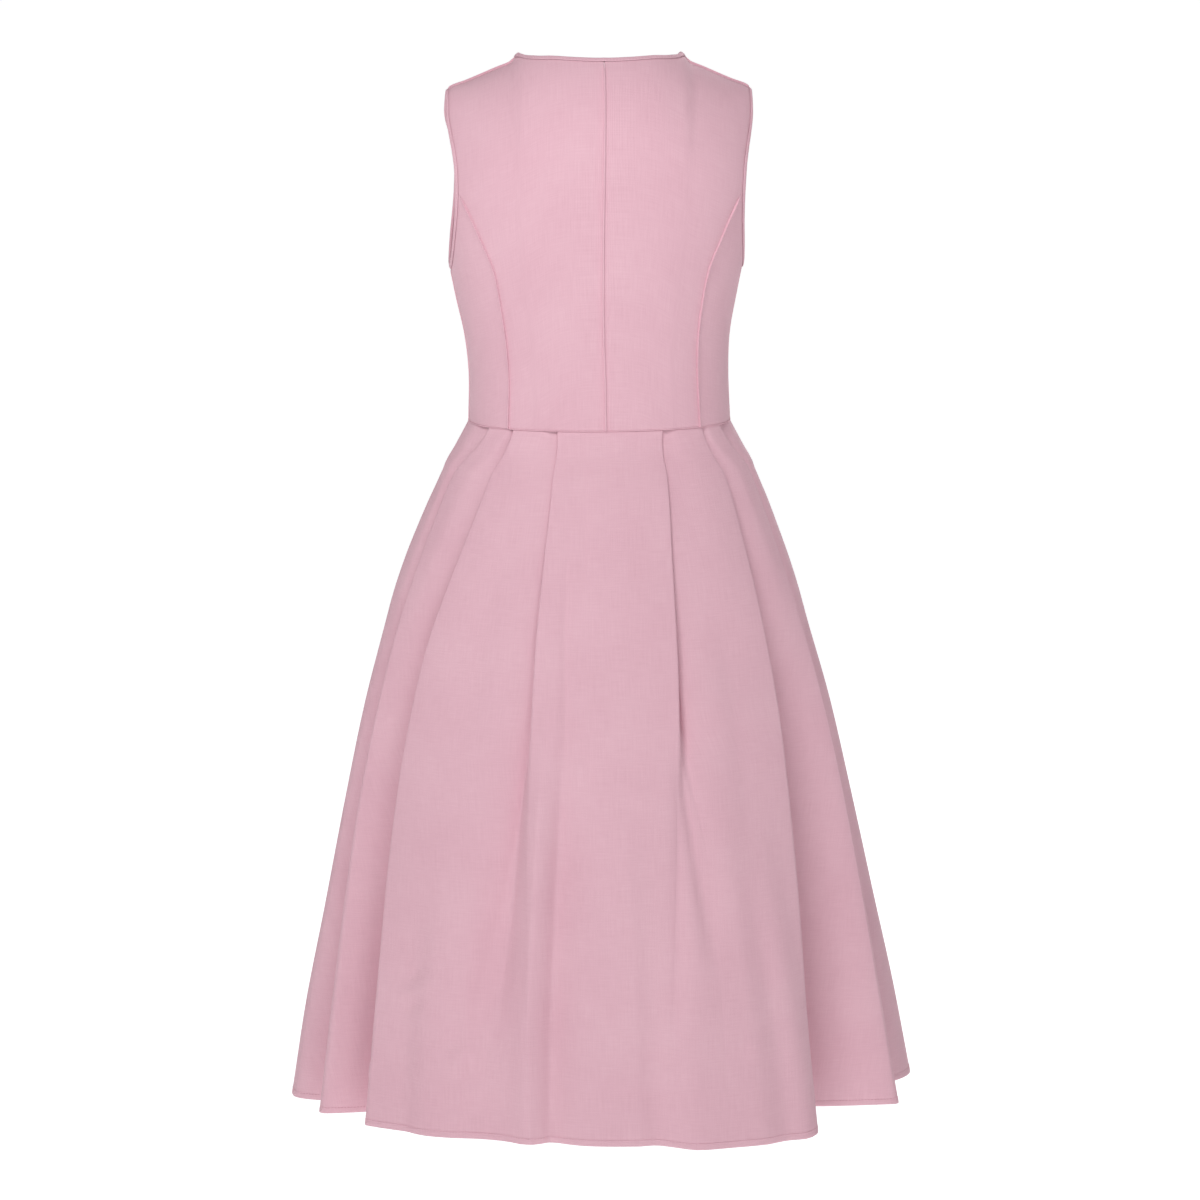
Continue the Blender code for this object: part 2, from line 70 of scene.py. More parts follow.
# ---- bodice: the same named forms as the solids ----
WAIST_BELOW = 0.382
HEM_BELOW = 1.100
BodyRow = namedtuple("BodyRow", "below half_width back_depth front_depth sway")
BODY = table(
    BodyRow,
    (-0.030, 0.1680, 0.098, 0.086, 0.000),
    (0.060, 0.1685, 0.104, 0.100, 0.003),
    (0.120, 0.1680, 0.106, 0.113, 0.004),
    (0.180, 0.1605, 0.107, 0.124, 0.005),
    (0.212, 0.1545, 0.106, 0.127, 0.005),
    (0.250, 0.1470, 0.103, 0.125, 0.005),
    (0.290, 0.1390, 0.099, 0.116, 0.004),
    (0.330, 0.1360, 0.096, 0.106, 0.0025),
    (0.382, 0.1372, 0.098, 0.101, 0.0017))
ROUNDNESS = 2.0 / 2.3            # a section is a little squarer than an oval
SHOULDER_ROLL = 0.110            # radius of the curve from the shoulder seam down to the upright
NECK_ANGLE = 26.8                # of the neck's end at the shoulder seam
NECK_RUN = {"back": 0.068, "front": 0.236}         # down to the neckline in the middle
NECK_RADIUS = 0.175              # turns a width of cloth at the neck into an angle
TIP_HALF_ANGLE = 20.0            # from the side to the shoulder tip
ARMHOLE_HALF_ANGLE = {"back": 27.5, "front": 31.5}
ARMHOLE_WIDEST_RUN = 0.150
ARMHOLE_BOTTOM_RUN = 0.237
ARMHOLE_RADIUS = 0.130           # turns a width of cloth at the armhole into an angle
ARMHOLE_HOLLOW = 0.55            # share of the edge's rise over which it curves out to the tip
PRINCESS_TOP_RUN = 0.166
ShoulderRow = namedtuple("ShoulderRow", "across height")
SHOULDER = table(
    ShoulderRow, (0.000, 0.0230), (0.162, 0.0221), (0.305, 0.0184), (0.414, 0.0110),
    (0.470, 0.0060), (0.500, 0.0038), (0.516, 0.0020), (0.532, -0.0016), (0.550, -0.0060),
    (0.568, -0.0079), (0.600, -0.0101), (0.640, -0.0127), (0.740, -0.0200), (0.830, -0.0263),
    (0.905, -0.0308), (0.944, -0.0350), (1.000, -0.0415))
SeamRow = namedtuple("SeamRow", "below angle")
PRINCESS = {
    "back": table(
        SeamRow, (0.148, 57.0), (0.180, 49.5), (0.215, 44.0), (0.250, 42.7), (0.295, 43.1),
        (0.382, 44.0)),
    "front": table(
        SeamRow, (0.148, 51.0), (0.180, 43.0), (0.215, 38.0), (0.250, 35.5), (0.295, 35.5),
        (0.382, 36.5)),
}

# ---- skirt: the same named forms as the solids ----
SkirtRow = namedtuple("SkirtRow", "share half_width half_depth sway")
SKIRT = table(
    SkirtRow,
    (0.00, 0.1600, 0.1000, 0.0017),
    (0.06, 0.1618, 0.1180, 0.0020),
    (0.09, 0.1700, 0.1290, 0.0023),
    (0.12, 0.1795, 0.1380, 0.0028),
    (0.16, 0.1910, 0.1490, 0.0036),
    (0.20, 0.2020, 0.1590, 0.0042),
    (0.25, 0.2140, 0.1700, 0.0046),
    (0.30, 0.2240, 0.1795, 0.0046),
    (0.42, 0.2480, 0.2030, 0.0034),
    (0.56, 0.2710, 0.2250, 0.0022),
    (0.72, 0.2960, 0.2450, 0.0006),
    (0.86, 0.3182, 0.2600, -0.0006),
    (1.00, 0.3365, 0.2760, -0.0025))
FOLD_ROLL = 0.0005               # tighter than in the solids, whose cloth is thicker
PRESSED = 0.0024                 # depth of a pleat's three layers, ironed flat
PRESSED_CLEAR = 0.0025           # a pressed panel keeps this far, along it, from other folds
FLUSH_UNTIL = 0.06               # share of the skirt over which it leaves the bodice's own form
SETTLED_AT = 0.40                # and where the panels have left their pressed layers
SIDE_FLAT = 0.0035
FallRow = namedtuple("FallRow", "share overlap depth edge_roll valley_roll")
FALLS = {
    "released": table(
        FallRow,
        (0.00, 0.026, PRESSED, FOLD_ROLL, FOLD_ROLL),
        (0.20, 0.014, 0.0070, 0.0012, 0.0012),
        (0.38, 0.001, 0.0125, 0.0024, 0.0028),
        (0.44, -0.006, 0.0135, 0.0032, 0.0038),
        (0.52, -0.015, 0.0120, 0.0050, 0.0060),
        (0.62, -0.027, 0.0110, 0.0080, 0.0110),
        (0.80, -0.056, 0.0095, 0.0120, 0.0200),
        (1.00, -0.076, 0.0095, 0.0140, 0.0260)),
    "sprung": table(
        FallRow,
        (0.00, 0.026, PRESSED, FOLD_ROLL, FOLD_ROLL),
        (0.20, 0.012, 0.0075, 0.0012, 0.0012),
        (0.33, 0.001, 0.0160, 0.0020, 0.0024),
        (0.41, -0.008, 0.0190, 0.0026, 0.0032),
        (0.48, -0.016, 0.0095, 0.0060, 0.0060),
        (0.60, -0.034, 0.0050, 0.0110, 0.0110),
        (1.00, -0.060, 0.0035, 0.0200, 0.0200)),
    "deep": table(
        FallRow,
        (0.00, 0.026, PRESSED, FOLD_ROLL, FOLD_ROLL),
        (0.20, 0.015, 0.0150, 0.0016, 0.0025),
        (0.38, 0.004, 0.0330, 0.0030, 0.0050),
        (0.62, -0.006, 0.0540, 0.0055, 0.0090),
        (1.00, -0.014, 0.0780, 0.0090, 0.0140)),
}

# One row for each pleat of a quarter, from the middle out: how far its edge lies from the middle
# at each of these shares of the length, and how deep its valley is beside the table above.
PATH_SHARES = (0.0, 0.10, 0.33, 0.58, 1.0)
PathRow = namedtuple("PathRow", "share across")
PleatRow = namedtuple("PleatRow", "fall path deepness")
PLEATS = {
    ("back", "left"): table(
        PleatRow,
        ("released", (0.0501, 0.0578, 0.0751, 0.0873, 0.0915), 1.00),
        ("deep", (0.0973, 0.1273, 0.1878, 0.2246, 0.2594), 1.15),
        ("deep", (0.1273, 0.1640, 0.2200, 0.2610, 0.3058), 0.80)),
    ("back", "right"): table(
        PleatRow,
        ("sprung", (0.0602, 0.0644, 0.0704, 0.0640, 0.0455), 1.00),
        ("deep", (0.1058, 0.1332, 0.1721, 0.1904, 0.1997), 1.20),
        ("deep", (0.1330, 0.1650, 0.2200, 0.2590, 0.3045), 1.15)),
    ("front", "left"): table(
        PleatRow,
        ("released", (0.0570, 0.0650, 0.0799, 0.0920, 0.1038), 1.10),
        ("deep", (0.1010, 0.1310, 0.1789, 0.2110, 0.2334), 1.10),
        ("deep", (0.1290, 0.1640, 0.2200, 0.2620, 0.3115), 0.90)),
    ("front", "right"): table(
        PleatRow,
        ("released", (0.0590, 0.0650, 0.0760, 0.0950, 0.1204), 1.00),
        ("deep", (0.1020, 0.1310, 0.1815, 0.2180, 0.2536), 1.15),
        ("deep", (0.1290, 0.1640, 0.2200, 0.2620, 0.3093), 1.00)),
}

# The side seams swing round the oval by this angle at the hem: one half gains what one loses.
SIDE_SWING = {("back", "left"): -8.0, ("front", "left"): 8.0,
              ("back", "right"): 8.0, ("front", "right"): -8.0}

# Lower down, the right part of the back swings out and hangs a little longer. It does so fully
# between the two middle angles, and not at all beyond the outer ones.
SWING_FACE = ("back", "right")
SWING_ANGLES = (5.0, 14.0, 33.0, 41.0)
SWING_FROM = 0.45
SWING_OUT, SWING_DOWN = 0.020, 0.004

# The right main pleat gapes as a slot: beside it the next panel swells straight back up. The
# panel after that one lies low for longer.
SLOT_AT, SLOT_REACH, SLOT_SWELL = 0.39, 0.08, 0.36
LOW_RISE, LOW_FROM = 1.8, 0.5    # how slowly it rises, and the share where it fully does so

# A pressed panel begins and ends its rise within these shares of its width, where it can.
RISE_BEGINS = (0.10, 0.45)
RISE_ENDS = (0.55, 0.95)
LAST_COVER = 0.6                 # the last one has no next pleat, and ends its rise about here

CALM_UNTIL = 0.10                # creases grow in over this share of the skirt
CALM_ANGLE, CALM_REACH = 88.0, 12.0                # and fade out over this angle before the side

MIDDLE_COLUMNS = 40              # sheet columns from the centre line to the first edge
FOLD_COLUMNS = 6                 # around one fold
RETURN_COLUMNS = 7               # between a pleat's two folds
PANEL_COLUMNS = 17               # from one pleat to the next, and to the side seam
NEAR_PLEAT = 1.5                 # the columns after the first pleat lie closer beside it
SIDE_STEPS = (0.40, 0.72, 0.90, 0.985, 1.0)        # along the flat strip beside the side seam

# ---- creases ----
# A crease runs between two places of the cloth. Angles are from the middle, toward the wearer's
# left; down is a share of the skirt or metres of the bodice. Bow is how far it bends aside, width
# half its breadth, height how far it stands out (or in), all in metres. Lean 1 is a step with a
# ridge on one side and a valley on the other, lean 0 an even ridge or valley.
Crease = namedtuple("Crease", "angle down to_angle to_down bow width height lean")
CREASE_PINCH = 1.3               # under 2, so a ridge is a little pinched, as pressed cotton is
CREASE_STEP = 1.6                # size of a leaning crease's step beside an even ridge
CREASE_REACH = 5                 # half breadths from its line to where a crease ends
CREASE_FADE = 0.35               # share of its length over which each end fades
SKIRT_CREASES = {
    "back": table(
        Crease,
        # the crisp valley left of the middle in the photograph, and the soft ridge beside it
        (12.6, 0.14, 10.8, 0.50, 0.000, 0.007, -0.0038, -0.2),
        (10.6, 0.34, 12.9, 1.10, -0.006, 0.008, -0.0070, -0.2),
        (9.6, 0.38, 11.4, 1.10, -0.006, 0.026, -0.0085, 0.1),
        (15.8, 0.38, 17.2, 1.10, -0.003, 0.012, 0.0080, 0.0),
        # the shadows that the two main pleats leave where they open
        (20.8, 0.36, 26.0, 0.95, 0.004, 0.012, -0.0110, 0.1),
        (-16.2, 0.42, -19.6, 0.78, 0.000, 0.008, -0.0080, -0.1),
        (-15.6, 0.43, -9.4, 0.92, 0.002, 0.009, -0.0080, 0.1),
        # faint pressed lines under the waist
        (8.6, 0.02, 6.6, 0.24, 0.001, 0.006, -0.0012, 0.3),
        (-22.0, 0.01, -25.0, 0.17, 0.001, 0.006, -0.0012, -0.3),
        # broad, weak waves of the hanging cloth
        (-2.0, 0.46, -3.0, 1.10, 0.004, 0.028, 0.0060, 0.2),
        (33.0, 0.50, 30.5, 1.10, 0.006, 0.022, 0.0070, 0.4),
        (43.0, 0.60, 40.0, 1.10, -0.006, 0.016, -0.0060, 0.2),
        (36.0, 0.10, 38.0, 0.50, 0.004, 0.018, -0.0040, 0.2),
        (-24.0, 0.46, -25.0, 1.10, 0.006, 0.020, 0.0050, 0.2),
        (-30.0, 0.60, -29.5, 1.10, 0.004, 0.018, -0.0060, 0.2),
        (-34.0, 0.20, -31.0, 0.66, 0.004, 0.018, -0.0036, -0.3),
        (62.0, 0.40, 59.0, 1.10, 0.004, 0.012, 0.0030, 0.3),
        (-56.0, 0.34, -53.0, 1.10, -0.004, 0.014, 0.0032, -0.3),
        # short puckers over the hem
        (47.5, 0.812, 37.0, 0.768, 0.004, 0.0045, 0.0019, 0.6),
        (45.0, 0.838, 38.5, 0.815, 0.002, 0.0040, 0.0014, 0.6),
        (34.0, 0.898, 27.0, 0.862, 0.004, 0.0050, 0.0020, 0.6),
        (31.0, 0.930, 24.5, 0.905, -0.003, 0.0045, 0.0014, 0.5),
        (57.0, 0.938, 50.5, 0.905, 0.002, 0.0045, 0.0017, 0.5),
        (-22.0, 0.860, -29.0, 0.842, 0.003, 0.0045, 0.0014, 0.6),
        (-5.0, 0.905, 2.0, 0.925, 0.003, 0.0050, 0.0012, 0.5),
        (-40.0, 0.900, -46.0, 0.868, 0.002, 0.0045, 0.0015, 0.5),
        (5.0, 0.462, 10.0, 0.490, 0.003, 0.0050, 0.0014, 0.5),
        (-8.0, 0.520, -2.0, 0.498, 0.002, 0.0050, 0.0012, 0.5)),
    "front": table(
        Crease,
        (-9.0, 0.30, -12.5, 1.10, 0.007, 0.012, 0.0046, -0.9),
        (10.0, 0.44, 7.0, 1.10, -0.005, 0.016, -0.0036, 0.4),
        (21.0, 0.40, 27.0, 0.86, 0.003, 0.013, -0.0034, 0.2),
        (-20.0, 0.42, -27.0, 0.80, -0.003, 0.013, -0.0032, -0.2),
        (33.0, 0.24, 31.0, 1.10, 0.005, 0.022, 0.0036, 0.4),
        (-36.0, 0.30, -35.0, 1.10, -0.005, 0.020, -0.0036, 0.3),
        (60.0, 0.40, 57.0, 1.10, 0.004, 0.013, 0.0030, 0.3),
        (-63.0, 0.36, -59.0, 1.10, -0.004, 0.013, 0.0030, -0.3),
        (0.5, 0.24, 2.0, 0.72, 0.006, 0.024, -0.0024, 0.2),
        (-30.0, 0.905, -23.5, 0.868, 0.003, 0.0050, 0.0019, 0.6),
        (38.0, 0.880, 31.0, 0.850, -0.003, 0.0048, 0.0017, 0.5),
        (4.0, 0.930, -3.0, 0.902, 0.003, 0.0050, 0.0014, 0.5),
        (14.0, 0.520, 19.0, 0.495, 0.002, 0.0050, 0.0012, 0.5)),
}
BODICE_CREASES = {
    "back": table(
        Crease,
        (12.0, 0.290, 30.0, 0.325, 0.003, 0.0090, -0.0006, 0.4),
        (-14.0, 0.300, -31.0, 0.328, -0.003, 0.0090, -0.0006, -0.4),
        (52.0, 0.215, 38.0, 0.235, 0.002, 0.0080, -0.0006, 0.4),
        (-53.0, 0.220, -37.0, 0.246, 0.002, 0.0080, -0.0006, 0.4),
        (60.0, 0.300, 80.0, 0.330, 0.002, 0.0070, -0.0007, 0.3),
        (-62.0, 0.305, -82.0, 0.338, 0.002, 0.0070, -0.0007, 0.3),
        (24.0, 0.350, 25.0, 0.440, 0.001, 0.0080, 0.0005, 0.3),
        (-22.0, 0.356, -24.0, 0.440, 0.001, 0.0080, 0.0005, 0.3)),
    "front": table(
        Crease,
        (10.0, 0.315, 29.0, 0.352, 0.003, 0.0090, -0.0007, 0.4),
        (-12.0, 0.322, -28.0, 0.350, -0.003, 0.0090, -0.0006, -0.4),
        (56.0, 0.225, 40.0, 0.252, 0.002, 0.0080, -0.0007, 0.4),
        (-57.0, 0.230, -41.0, 0.250, 0.002, 0.0080, -0.0007, 0.4),
        (58.0, 0.318, 80.0, 0.345, 0.002, 0.0070, -0.0007, 0.3),
        (-60.0, 0.312, -80.0, 0.340, 0.002, 0.0070, -0.0007, 0.3)),
}
THREAD_RADIUS = 0.135            # turns an angle round the bodice into a width of cloth

# How a seam's edge turns in: how far from the edge, and how deep under the surface it lies.
TurnRow = namedtuple("TurnRow", "away depth")
TURN = table(
    TurnRow, (0.0, 0.0026), (0.00003, 0.0006), (0.00012, 0.00010), (0.0005, 0.0), (0.0012, 0.0),
    (0.0026, 0.0), (0.0050, 0.0))
WAIST_TURN_SHARE = 0.12          # the pleated top has less room to turn in
WAIST_EDGE_SHARE = 0.45          # and so have the bodice over it and the side seams
PRINCESS_STEP = 0.0005           # the side panel lies this far under the centre panel at their
PRINCESS_STEP_WIDTH = 0.006      # seam, and level with it from this far on
TUCK = 0.004                     # a seam's turning fades over this length under a binding
TOP_CORNER = 12                  # and the top edge's over the first and last twelfth of its width

# ---- hem ----
HEM_WIDTH = 0.0055               # from the hem's edge up to its line of sewing
HEM_STEPS = (0.012, 0.0085, 0.0070, 0.0061, 0.0055, 0.0049, 0.0040, 0.0022, 0.0008, 0.0)
HEM_GROOVE, GROOVE_REACH = 0.0003, 0.0007          # the sewing pulls the cloth in a little,
HEM_PROUD, PROUD_REACH = 0.00025, 0.0012           # and the doubled cloth under it stands out
# The cloth goes on round the hem's edge: how far up again, and how far inside.
TurningRow = namedtuple("TurningRow", "up inside")
HEM_TURNING = table(
    TurningRow, (0.0004, 0.0005), (0.0012, 0.0009), (0.0030, 0.0010), (HEM_WIDTH + 0.0006, 0.0009))
SKIRT_LENGTH = HEM_BELOW - WAIST_BELOW
SKIRT_TOP = WAIST_BELOW + SEAM_HALF + 0.0001       # its upper edge, just under the waist seam
ROW_SPACING = 0.0068


# ---- tables and curves ----
def read(rows, column, key):
    """Smooth value of a table's column, where its first column equals key."""
    keys = [row[0] for row in rows]
    values = [getattr(row, column) for row in rows]
    if key <= keys[0]:
        return values[0]
    if key >= keys[-1]:
        return values[-1]
    low = next(n for n in range(len(keys) - 1) if key <= keys[n + 1])
    span = keys[low + 1] - keys[low]
    u = (key - keys[low]) / span

    def rise(n):
        before, after = max(n - 1, 0), min(n + 1, len(keys) - 1)
        return (values[after] - values[before]) / (keys[after] - keys[before]) * span

    return (values[low] * (2 * u**3 - 3 * u**2 + 1) + rise(low) * (u**3 - 2 * u**2 + u)
            + values[low + 1] * (3 * u**2 - 2 * u**3) + rise(low + 1) * (u**3 - u**2))


def mix(first, last, share):
    return first + (last - first) * share


def clamp(value, lowest, highest):
    return min(max(value, lowest), highest)


def ease(share):
    share = clamp(share, 0.0, 1.0)
    return share * share * (3 - 2 * share)


def turned_in(away):
    """How deep a turned-in edge lies at a distance from the seam."""
    for near, far in zip(TURN, TURN[1:]):
        if away <= far.away:
            return mix(near.depth, far.depth, (away - near.away) / (far.away - near.away))
    return 0.0


def stations(length, spacing, *corners):
    """Shares of an edge: close together where its ends turn in, and one at each corner."""
    near = [row.away / length for row in TURN]
    stops = [near[-1], *corners, 1 - near[-1]]
    shares = near[:-1]
    for start, end in zip(stops, stops[1:]):
        count = max(1, round((end - start) * length / spacing))
        shares += [mix(start, end, step / count) for step in range(count)]
    return shares + [1 - share for share in reversed(near)]


def crease_height(creases, angle, down, across, along):
    """Height of all creases at a place; across and along are metres for one unit of each."""
    height = 0.0
    for crease in creases:
        turned, dropped = crease.to_angle - crease.angle, crease.to_down - crease.down
        line = Vector((turned * across, dropped * along))
        here = Vector(((angle - crease.angle) * across, (down - crease.down) * along))
        share = here.dot(line) / line.length_squared
        if not 0 < share < 1:
            continue
        aside = here.cross(line) / line.length + crease.bow * 4 * share * (1 - share)
        breadth = aside / crease.width
        if abs(breadth) > CREASE_REACH:
            continue
        even = math.exp(-abs(breadth) ** CREASE_PINCH)
        step = CREASE_STEP * breadth * math.exp(-breadth * breadth / 5)
        fade = ease(share / CREASE_FADE)
        if crease.to_down <= 1:                        # the others run out over the hem
            fade *= ease((1 - share) / CREASE_FADE)
        leaning = math.copysign(1, crease.lean) * step
        height += crease.height * fade * mix(even, leaning, abs(crease.lean))
    return height


# ---- bodice surface ----
# A place is (angle, run): degrees from the middle of the back or front, and metres of cloth down
# from the shoulder seam.
def width_share(angle):
    return math.copysign(abs(math.sin(math.radians(angle))) ** ROUNDNESS, angle)


def shoulder_height(angle):
    return read(SHOULDER, "height", width_share(angle))


def run_at(angle, below):
    drop = shoulder_height(angle) + below
    if drop < SHOULDER_ROLL:
        return SHOULDER_ROLL * math.acos(1 - drop / SHOULDER_ROLL)
    return SHOULDER_ROLL * math.pi / 2 + drop - SHOULDER_ROLL


def bodice_point(face, hand, angle, run):
    turn = min(run / SHOULDER_ROLL, math.pi / 2)
    drop = SHOULDER_ROLL * (1 - math.cos(turn)) + run - SHOULDER_ROLL * turn
    below = drop - shoulder_height(angle)
    depth_share = max(math.cos(math.radians(angle)), 0.0) ** ROUNDNESS
    depth = read(BODY, face + "_depth", below) * depth_share
    across = read(BODY, "half_width", below) * width_share(angle)
    return Vector((SIDE[hand] * across + read(BODY, "sway", below),
                   TOWARD[face] * depth * math.sin(turn), -below))


OUTWARD_ANGLE = 2.2              # the surface is sampled this far to each side, in degrees,
OUTWARD_RUN = 0.001              # and this far up and down, in metres
INNER_LAST, OUTER_LAST = 85.4, 89.8                # and no nearer the side seam than this


def bodice_outward(face, hand, angle, run):
    """Direction out of the bodice's surface."""
    inner, outer = min(angle - OUTWARD_ANGLE, INNER_LAST), min(angle + OUTWARD_ANGLE, OUTER_LAST)
    over, under = max(run - OUTWARD_RUN, 0.0), max(run + OUTWARD_RUN, 2 * OUTWARD_RUN)
    sideways = bodice_point(face, hand, outer, run) - bodice_point(face, hand, inner, run)
    downward = bodice_point(face, hand, angle, under) - bodice_point(face, hand, angle, over)
    normal = sideways.cross(downward).normalized()
    return -normal if (face == "back") == (hand == "left") else normal


def bodice_cloth(face, hand, angle, run, lift):
    return bodice_point(face, hand, angle, run) + bodice_outward(face, hand, angle, run) * lift


def neckline(face, share, inset):
    """Neck edge, from the middle (share 0) to the shoulder seam (share 1)."""
    turn = math.radians(90 * share)
    angle = NECK_ANGLE + math.degrees(inset / NECK_RADIUS)
    return angle * math.sin(turn), (NECK_RUN[face] + inset) * math.cos(turn)


def armhole(face, share, inset):
    """Armhole edge: shoulder tip (share 0), top of the princess seam (1), underarm (2)."""
    half = ARMHOLE_HALF_ANGLE[face]
    deep = ARMHOLE_BOTTOM_RUN - ARMHOLE_WIDEST_RUN + inset
    seam_lean = math.asin((PRINCESS_TOP_RUN - ARMHOLE_WIDEST_RUN) / deep)
    narrowing = math.degrees(inset / ARMHOLE_RADIUS)
    run = PRINCESS_TOP_RUN * share
    if run < ARMHOLE_WIDEST_RUN:
        rise = (ARMHOLE_WIDEST_RUN - run) / ARMHOLE_WIDEST_RUN
        return 90 - mix(half, TIP_HALF_ANGLE, ease(rise / ARMHOLE_HOLLOW)) - narrowing, run
    lean = mix(seam_lean, math.pi / 2, max(share - 1, 0))
    if share < 1:
        lean = math.asin((run - ARMHOLE_WIDEST_RUN) / deep)
    return 90 - (half + narrowing) * math.cos(lean), ARMHOLE_WIDEST_RUN + deep * math.sin(lean)


def princess(face, share, inset):
    """Princess seam, from the waist (share 0) to the armhole (share 1)."""
    end_angle, end_run = armhole(face, 1, inset)
    turn = min(end_run / SHOULDER_ROLL, math.pi / 2)
    end_below = SHOULDER_ROLL * (1 - math.cos(turn)) - shoulder_height(end_angle)
    rows = (SeamRow(end_below, end_angle),) + PRINCESS[face]
    below = mix(WAIST_BELOW - SEAM_HALF / 2, end_below, share)
    angle = read(rows, "angle", below)
    return angle, run_at(angle, below)


# ---- materials ----
def linear(colour):
    """Linear RGBA from an sRGB hex string."""
    parts = [int(colour[n:n + 2], 16) / 255 for n in (1, 3, 5)]
    return [part / 12.92 if part <= 0.04045 else ((part + 0.055) / 1.055) ** 2.4
            for part in parts] + [1.0]


def add_node(tree, kind, links=(), **settings):
    """Node with its settings. Each of links names or numbers an input, and gives its value or the
    socket that feeds it."""
    node = tree.nodes.new(kind)
    for key, value in settings.items():
        setattr(node, key, value)
    for socket, value in links:
        if isinstance(value, bpy.types.NodeSocket):
            tree.links.new(value, node.inputs[socket])
        else:
            node.inputs[socket].default_value = value
    return node


def new_material(name):
    material = bpy.data.materials.new(name)
    material.use_nodes = True
    return material, material.node_tree, material.node_tree.nodes["Principled BSDF"]


def noise(tree, place, scale, detail, roughness=0.5):
    inputs = ("Vector", place), ("Scale", scale), ("Detail", detail), ("Roughness", roughness)
    return add_node(tree, "ShaderNodeTexNoise", inputs).outputs["Fac"]


def calculate(tree, operation, *values):
    return add_node(tree, "ShaderNodeMath", enumerate(values), operation=operation).outputs[0]


def dye(tree, shader, factor, *colours):
    """Colour the shader by a factor; the colours lie evenly from 0 to 1."""
    ramp = add_node(tree, "ShaderNodeValToRGB", [("Fac", factor)])
    elements = ramp.color_ramp.elements
    elements[0].color, elements[1].color = linear(colours[0]), linear(colours[-1])
    for number, colour in enumerate(colours[1:-1], 1):
        elements.new(number / (len(colours) - 1)).color = linear(colour)
    tree.links.new(ramp.outputs["Color"], shader.inputs["Base Color"])


def woven_cotton(name):
    """Plain-weave cotton with slightly uneven yarn, piece-dyed, so the shade wanders a little.

    The weave is matt with a soft bloom of loose fibre that greys the cloth where it turns away.
    """
    material, tree, shader = new_material(name)
    threads = add_node(tree, "ShaderNodeUVMap", uv_map="threads").outputs["UV"]
    # real yarn lies 0.35 mm apart, too fine to show, so it is drawn 1.1 mm apart
    yarn_pitch = 0.0011
    slubs = []
    for along, across in ((0.030, 0.0009), (0.0011, 0.022)):
        stretched = add_node(tree, "ShaderNodeMapping",
                             [("Vector", threads), ("Scale", (1 / across, 1 / along, 1.0))])
        slubs.append(noise(tree, stretched.outputs["Vector"], 1.0, 2.0, 0.6))
    both = calculate(tree, "ADD", *slubs)
    clouds = calculate(tree, "MULTIPLY_ADD", noise(tree, threads, 11.0, 3.0), 0.9, both)
    tone = add_node(tree, "ShaderNodeMapRange",
                    [("Value", clouds), ("From Min", 0.75), ("From Max", 2.15)])
    dye(tree, shader, tone.outputs["Result"], "#DAAAB8", "#E2B5C2", "#E9C0CB")
    yarn = []
    for direction in ("X", "Y"):
        wave = add_node(tree, "ShaderNodeTexWave",
                        [("Vector", threads), ("Scale", math.tau / 20 / yarn_pitch),
                         ("Distortion", 0.5), ("Detail", 1.0), ("Detail Scale", 2.0)],
                        wave_type="BANDS", bands_direction=direction)
        yarn.append(wave.outputs["Fac"])
    relief = calculate(tree, "MULTIPLY_ADD", both, 0.8, calculate(tree, "MULTIPLY", *yarn))
    bump = add_node(tree, "ShaderNodeBump",
                    [("Height", relief), ("Strength", 0.70), ("Distance", 0.00022)])
    tree.links.new(bump.outputs["Normal"], shader.inputs["Normal"])
    shader.inputs["Roughness"].default_value = 0.88
    shader.inputs["Specular IOR Level"].default_value = 0.25
    shader.inputs["Sheen Weight"].default_value = 0.22
    shader.inputs["Sheen Roughness"].default_value = 0.45
    shader.inputs["Sheen Tint"].default_value = linear("#EFE2E6")
    return material


def spun_thread(name):
    """Spun polyester sewing thread: two plies, a little smoother and deeper than the cloth."""
    material, tree, shader = new_material(name)
    place = add_node(tree, "ShaderNodeTexCoord").outputs["Object"]
    # a stitch is 2.4 mm long, so its ply is drawn 0.6 mm wide
    dye(tree, shader, noise(tree, place, 1600.0, 1.0), "#C793A2", "#DDB0BC")
    shader.inputs["Roughness"].default_value = 0.6
    return material


def studio_paper(name):
    """Seamless background paper: matt, white and very slightly mottled."""
    material, tree, shader = new_material(name)
    place = add_node(tree, "ShaderNodeTexCoord").outputs["Object"]
    dye(tree, shader, noise(tree, place, 0.8, 2.0), "#9C9C9C", "#A2A2A2")
    shader.inputs["Roughness"].default_value = 0.95
    shader.inputs["Emission Color"].default_value = linear("#FFFFFF")
    shader.inputs["Emission Strength"].default_value = 0.96
    return material


dress_cotton = woven_cotton("pale_pink_cotton")
binding_cotton = woven_cotton("bias_cut_pink_cotton")
sewing_thread = spun_thread("pink_sewing_thread")
backdrop_paper = studio_paper("white_studio_paper")


# ---- making sheets ----
def add_object(name, data):
    made = bpy.data.objects.new(name, data)
    bpy.context.scene.collection.objects.link(made)
    return made


def even_shares(count):
    return [number / (count - 1) for number in range(count)]


